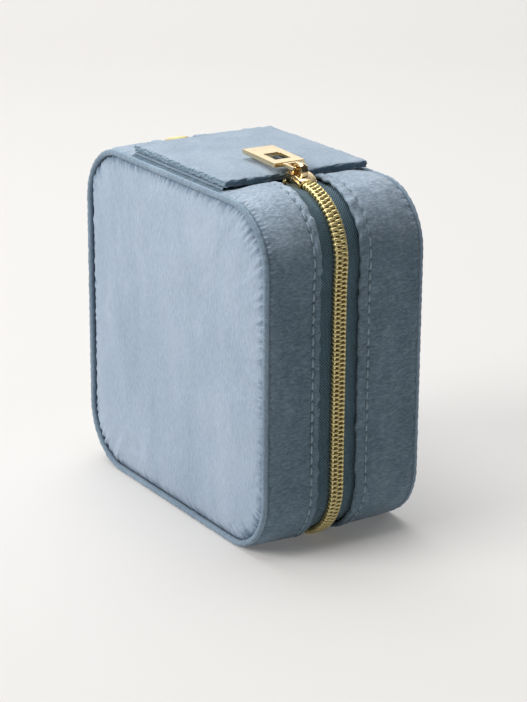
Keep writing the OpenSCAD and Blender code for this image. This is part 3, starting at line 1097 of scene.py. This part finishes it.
metal_piece("front_slider", slider, AT_FRONT)
metal_piece("rear_slider", slider, AT_REAR)
metal_piece("front_pull", pull, AT_FRONT @ PULL_AT @ turn_x(FRONT_LIFT - FRONT_TILT))
metal_piece("rear_pull", pull, AT_REAR @ PULL_AT @ turn_x(PI + REAR_DROP))


# ---------------------------------------------------------------- the spine flap
def spine_flap():
    """The flap: velvet wrapped round a board, folded in along its ends."""
    verts, quads = rounded_block(FLAP_LO, FLAP_HI, 0.5, 0.36)
    middle = (FLAP_LO + FLAP_HI) / 2
    rel = (verts - middle) / ((FLAP_HI - FLAP_LO) / 2)
    x, y, z = verts.T
    up = smooth((rel[:, 2] + 0.3) / 1.2)
    puff = 0.75 * (1 - np.abs(rel[:, 0]) ** 3.2) * (1 - np.abs(rel[:, 1]) ** 4.5)
    z = z + up * (puff + 0.10 * field(x, y, 17, 5) + 0.035 * field(x, y, 4.5, 6))
    edge_y = smooth((np.abs(rel[:, 1]) - 0.93) / 0.05)
    edge_x = smooth((np.abs(rel[:, 0]) - 0.95) / 0.04)
    crease = 0.16 * np.sin(2 * PI * x / 3.1 + 1.3 * field(x, y, 9, 8))
    crease = crease + 0.34 * field(x, z * 1.5, 1.3, 9, 24)
    fold = 0.28 * np.exp(-((rel[:, 2] + 0.15) / 0.28) ** 2)
    y = y + np.sign(rel[:, 1]) * edge_y * (crease * 0.55 - fold)
    z = z + edge_y * 0.10 * field(x, y, 3.2, 10)
    x = x + np.sign(rel[:, 0]) * edge_x * 0.22 * field(y, z * 1.5, 1.4, 12, 24)
    z = z + edge_x * 0.08 * field(y, x, 4.0, 13)
    mesh = mesh_from("spine_velvet", np.stack([x, y, z], -1), quads)
    obj = new_object("spine_velvet", mesh, FLAP, "base", ("spine_cover",))


def hinge_strip():
    """The cloth that turns from the flap's left edge down to the lid."""
    lo, hi = box_mm("hinge_cloth")
    y = np.linspace(lo[1], hi[1], 90)
    turn = np.linspace(0, PI, 13)
    bottom, top = lo[2] + 0.12, FLAP_LO[2] - 0.05
    mid, r = (bottom + top) / 2, (top - bottom) / 2
    left = lo[0]
    x = np.concatenate([
        [left + 2.6, left + 1.2],
        left + 0.45 - 0.75 * np.sin(turn),
        [left + 1.2, left + 2.6],
    ])
    z = np.concatenate([[top, top], mid + r * np.cos(turn), [bottom, bottom]])
    points = np.zeros((len(y), len(x), 3))
    points[..., 0] = x + 0.06 * waves(y, 60, 5, 91)[:, None]
    points[..., 1] = y[:, None]
    points[..., 2] = z
    mesh = grid("hinge_strip", points)
    obj = new_object("hinge_strip", mesh, HINGE, None, ("hinge_cloth",))
    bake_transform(obj)


spine_flap()
hinge_strip()


# ---------------------------------------------------------------- inside
def lining_tray(name, side, node):
    """A lined half: velvet over the board's edge, down the wall and over the floor."""
    lo, hi = box_mm(node)
    rim = (lo if side > 0 else hi)[0]
    back = (hi if side > 0 else lo)[0] - side * 0.8
    count = 720
    s = all_round(count)
    fillet = np.linspace(0, PI / 2, 8)
    wall_n = -5.2
    r = 1.6
    x = np.concatenate([
        [rim + side * 0.9, rim - side * 0.1, rim - side * 0.45, rim - side * 0.5, rim - side * 0.3],
        np.linspace(rim + side * 0.2, back - side * r, 14)[:-1],
        back - side * r * (1 - np.sin(fillet)),
    ])
    n = np.concatenate([
        [-1.95, -2.0, -2.5, -3.8, -4.8],
        np.full(13, wall_n),
        wall_n - r * (1 - np.cos(fillet)),
    ])
    place, normal = stations(s)
    walls = place[:, None, :] + n[None, :, None] * normal[:, None, :]
    shrink = np.linspace(1, 0.02, 40)[1:]
    floor = walls[:, -1:, :] * shrink[None, :, None]
    yz = np.concatenate([walls, floor], 1)
    depth = np.concatenate([np.zeros(len(x)), (1 - shrink) * HALF])
    xs = np.concatenate([x, np.full(len(shrink), back)])
    xs = xs - side * 0.12 * field(yz[..., 0], yz[..., 1], 14, 40 + side) * smooth(depth / 6)
    points = np.stack([xs, yz[..., 0], yz[..., 1] + HALF], -1)
    v = run_length(x, n)
    v = np.concatenate([v, v[-1] + (1 - shrink) * HALF])
    mesh = grid(name, points, around=True, cap_last=True, u=np.append(s, ROUND), v=v)
    new_object(name, mesh, LINING, half_of(side), (node,))


def ring_roll(number):
    """A soft roll with rounded ends and a seam along its foot."""
    node = f"ring_roll_{number}"
    lo, hi = box_mm(node)
    mid = (lo + hi) / 2
    radius = (hi[2] - lo[2]) / 2
    half_l = (hi[1] - lo[1]) / 2
    end = np.linspace(0, PI / 2, 9)
    bend = 2.2
    near_end = -half_l + bend * (1 - np.cos(end))
    middle = np.linspace(-half_l + bend, half_l - bend, 44)[1:-1]
    side_y = np.concatenate([near_end, middle, -near_end[::-1]])
    rounded = (radius - bend + bend * np.sin(end)) / radius
    grow = np.concatenate([rounded, np.ones_like(middle), rounded[::-1]])
    a = circle(56)
    bulge = 1 + 0.018 * field(side_y[:, None], a * radius, 11, 60 + number)
    pucker = 1 + 0.012 * np.cos(14 * a)[None, :] * smooth((np.abs(side_y) - half_l + 5) / 4)[:, None]
    foot = 1 - 0.06 * np.exp(-(a / 0.22) ** 2)[None, :]
    r = radius * grow[:, None] * bulge * pucker * foot * 0.985
    points = np.stack([
        mid[0] + r * np.cos(a),
        np.broadcast_to(mid[1] + side_y[:, None], r.shape),
        mid[2] + r * np.sin(a),
    ], -1)
    mesh = grid(node + "_velvet", points, closed=True, cap_first=True, cap_last=True)
    obj = new_object(node + "_velvet", mesh, LINING, "base", (node,))


def soft_divider(node):
    """A thin padded wall of the lining."""
    lo, hi = box_mm(node)
    verts, quads = rounded_block(lo, hi, 0.7, 1.0)
    x, y, z = verts.T
    thin = int(np.argmin(hi - lo))
    puff = 0.12 * field(x + y, z, 9, len(node))
    away = np.sign(verts[:, thin] - (lo + hi)[thin] / 2)
    verts[:, thin] += away * 0.5 * puff
    mesh = mesh_from(node + "_velvet", verts, quads)
    new_object(node + "_velvet", mesh, LINING, "base", (node,))


def mirror_frame():
    """A padded velvet bead round the mirror."""
    lo, hi = box_mm("mirror_frame")
    glass_lo, glass_hi = box_mm("mirror_glass")
    inner = (glass_hi[1] - glass_lo[1]) / 2
    width = (hi[1] - lo[1]) / 2 - inner
    mid_r = 3.0
    corner = inner + width / 2 - mid_r
    length = 8 * corner + 2 * PI * mid_r
    count = 480
    s = np.arange(count) * length / count
    place, normal = stations(s, corner, mid_r)
    a = np.linspace(0, PI, 15)
    n = -(width / 2 + 0.15) * np.cos(a)
    x = lo[0] + (hi[0] - lo[0]) * np.sin(a) ** 0.8
    x = x + 0.05 * waves(s, length, 5, 44, 10)[:, None] * np.sin(a)
    yz = place[:, None, :] + n[None, :, None] * normal[:, None, :]
    points = np.stack([x, yz[..., 0], yz[..., 1] + HALF], -1)
    mesh = grid("mirror_frame_velvet", points, around=True)
    obj = new_object("mirror_frame_velvet", mesh, SIDE, "lid", ("mirror_frame",))


lining_tray("base_lining_velvet", 1, "base_lining")
lining_tray("lid_lining_velvet", -1, "lid_lining")
for number in range(1, 7):
    ring_roll(number)
for node in ("divider_long", "divider_cross_lower", "divider_cross_upper"):
    soft_divider(node)
mirror_frame()


# ---------------------------------------------------------------- stage, light and camera
def backdrop():
    """A pale floor that curves up into a wall behind the case. Floor and wall glow, a
    painted light that grows with height. Close to the case the glow is dimmed, a painted
    shadow that keeps the case's shadow dark there, and the floor is paler to make up for it."""
    width, front, back, rise = 1400, -5000, 620, 900
    bend = 260
    turn = np.linspace(0, PI / 2, 24)
    y = np.concatenate([[front], back + bend * np.sin(turn), [back + bend]])
    z = np.concatenate([[0], bend * (1 - np.cos(turn)), [rise]])
    x = np.linspace(-width, width, 3)
    points = np.zeros((len(x), len(y), 3))
    view = math.radians(VIEW_AZIMUTH)
    points[..., 0] = x[:, None] * math.cos(view) - y * math.sin(view)
    points[..., 1] = x[:, None] * math.sin(view) + y * math.cos(view)
    points[..., 2] = z
    mesh = grid("backdrop", points)
    mat, nt, shader = nodes_of("backdrop", Roughness=0.9, Emission_Color=(1.0, 0.985, 0.965, 1))
    x, y, height = separated(nt, place_on(nt, "Object"))
    y = math_node(nt, "SUBTRACT", y, CASE_Y * MM)
    from_case = math_node(nt, "SQRT", plus(nt, times(nt, x, x), times(nt, y, y)))
    away = map_range(nt, from_case, 0.045, 0.088)
    color = mix(nt, away, (0.60, 0.588, 0.575), (0.36, 0.353, 0.345))
    nt.links.new(color, shader.inputs["Base Color"])
    # Painted light: the glow grows with height, and near the case it is dimmed as a painted shadow
    glow = map_range(nt, height, 0.0, 0.45, 0.40, 0.92)
    dim = map_range(nt, away, 0.0, 1.0, 0.28, 1.0)
    nt.links.new(times(nt, glow, dim), shader.inputs["Emission Strength"])
    obj = new_object("backdrop", mesh, mat, None)


def unit(azimuth, elevation):
    """The direction from the case towards a light or a camera, in degrees."""
    a, e = math.radians(azimuth), math.radians(elevation)
    return Vector((math.sin(a) * math.cos(e), -math.cos(a) * math.cos(e), math.sin(e)))


def area_light(name, azimuth, elevation, distance, size, power, color=(1, 1, 1)):
    """A soft light that faces the middle of the case."""
    data = bpy.data.lights.new(name, "AREA")
    data.shape = "DISK"
    data.size = size
    data.energy = power
    data.color = color
    obj = bpy.data.objects.new(name, data)
    bpy.context.scene.collection.objects.link(obj)
    back = unit(azimuth, elevation)
    obj.location = Vector((0, 0, HALF * MM)) + back * distance
    obj.rotation_euler = back.to_track_quat("Z", "Y").to_euler()


def camera():
    """The camera of the main view: its direction, distance and lens."""
    a, roll = math.radians(VIEW_AZIMUTH), math.radians(0.38)
    back = unit(VIEW_AZIMUTH, 18.68)
    right = Vector((math.cos(a), math.sin(a), 0))
    up = back.cross(right)
    tilted = right * math.cos(roll) + up * math.sin(roll)
    upright = up * math.cos(roll) - right * math.sin(roll)
    target = Vector((-0.12, CASE_Y - 8.78, 45.87)) * MM
    data = bpy.data.cameras.new("camera")
    data.sensor_width = 36
    data.lens = 113.9
    data.clip_start = 0.01
    obj = bpy.data.objects.new("camera", data)
    bpy.context.scene.collection.objects.link(obj)
    turn = Matrix((tilted, upright, back)).transposed().to_4x4()
    obj.matrix_world = Matrix.Translation(target + back * 0.643) @ turn
    bpy.context.scene.camera = obj


camera()
backdrop()
area_light("key", -104, 32, 1.2, 0.8, 14.0, (1.0, 0.985, 0.97))
area_light("top", 165, 76, 0.95, 1.0, 8.8)
world = bpy.data.worlds.new("world")
bpy.context.scene.world = world
world.use_nodes = True
sky = world.node_tree.nodes["Background"].inputs
sky["Color"].default_value = (0.96, 0.97, 1.0, 1)
sky["Strength"].default_value = 0.04
bpy.context.scene.view_settings.view_transform = "Standard"
